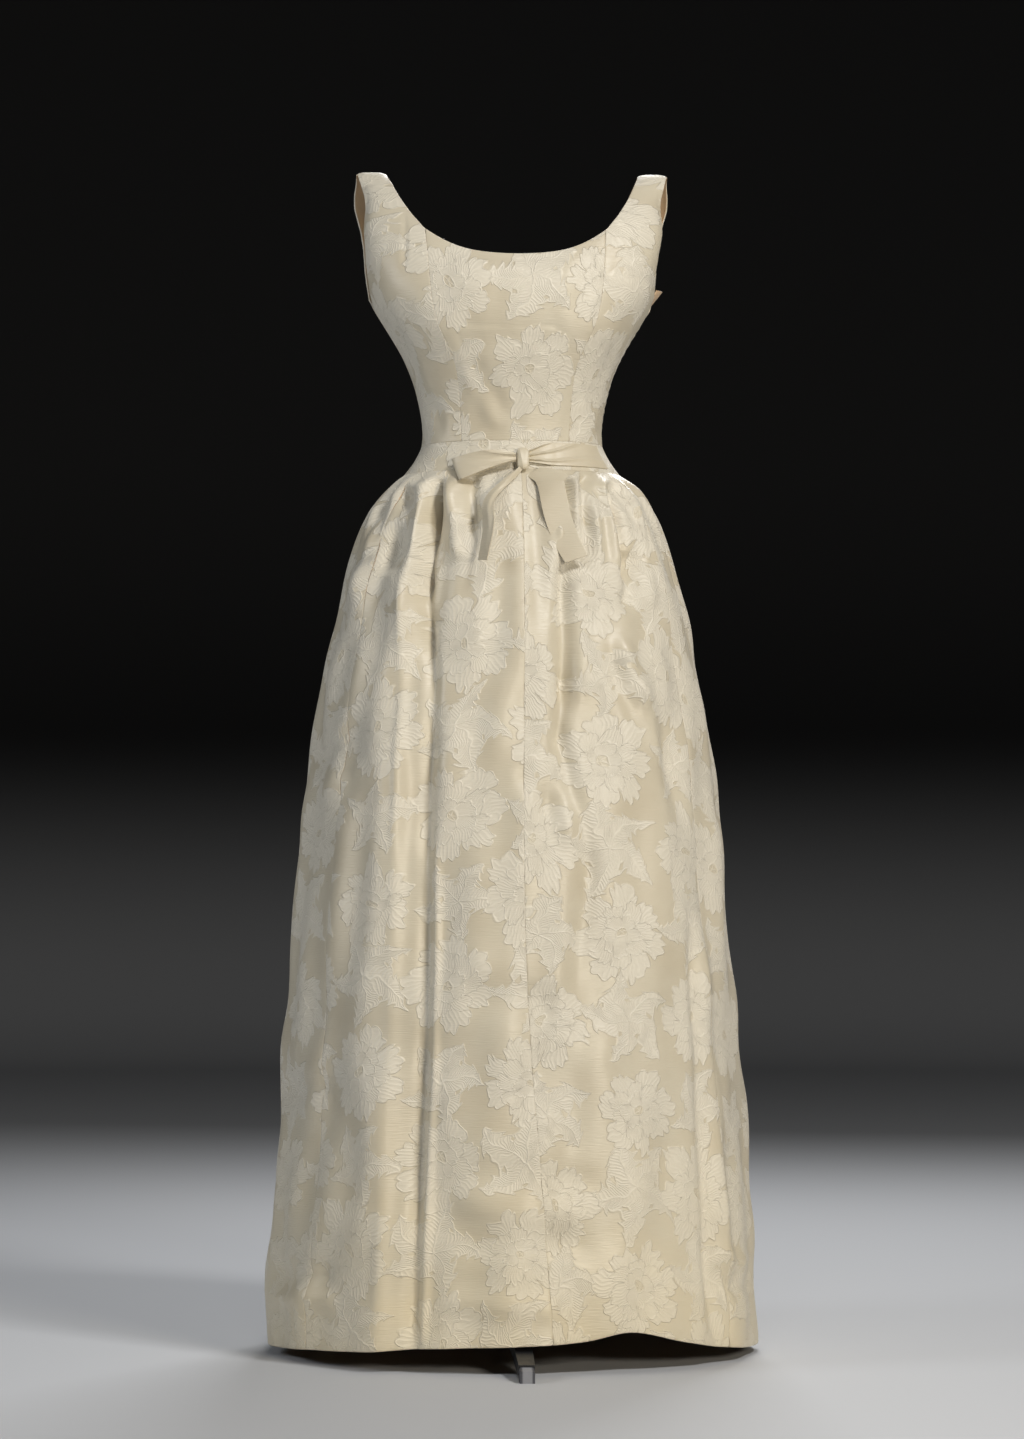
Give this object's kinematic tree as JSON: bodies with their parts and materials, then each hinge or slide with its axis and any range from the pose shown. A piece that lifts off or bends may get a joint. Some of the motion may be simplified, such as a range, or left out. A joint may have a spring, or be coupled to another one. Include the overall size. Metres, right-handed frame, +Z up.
{
  "type": "silk dress on a dress form stand",
  "caption": "Floor-length sleeveless damask evening dress with a gathered bell skirt, sash and bow, filled out by a limbless torso form on a tripod stand.",
  "frame": {"origin": "on the floor, under the centre of the whole object's box", "axes": "+Z up, the dress's front faces -Y, +X is the wearer's left"},
  "size_m": [0.5924, 0.6569, 1.412],
  "materials": {
    "silk": "cream silk damask, satin ground with matt raised flowers",
    "ribbon": "plain cream silk satin",
    "lining": "peach lining silk",
    "form_cover": "plain cotton jersey over a smooth torso",
    "stand_paint": "satin black paint",
    "foot_cap": "grey moulded cap"
  },
  "bodies": {
    "root": {"bodice_front_centre": "silk", "bodice_front_left": "silk", "bodice_front_right": "silk", "bodice_back_centre": "silk", "bodice_back_left": "silk", "bodice_back_right": "silk", "waistband_front": "silk", "waistband_back": "silk", "skirt_front_left": "silk", "skirt_front_right": "silk", "skirt_side_left": "silk", "skirt_side_right": "silk", "skirt_back_left": "silk", "skirt_back_right": "silk", "side_placket": "lining", "sash": "ribbon", "bow_loop": "ribbon", "bow_knot": "ribbon", "bow_tail_left": "ribbon", "bow_tail_right": "ribbon", "form": "form_cover", "pole": "stand_paint", "hub": "stand_paint", "leg_front": "stand_paint", "leg_left": "stand_paint", "leg_right": "stand_paint", "foot_front": "foot_cap", "foot_left": "foot_cap", "foot_right": "foot_cap"}
  },
  "joints": []
}
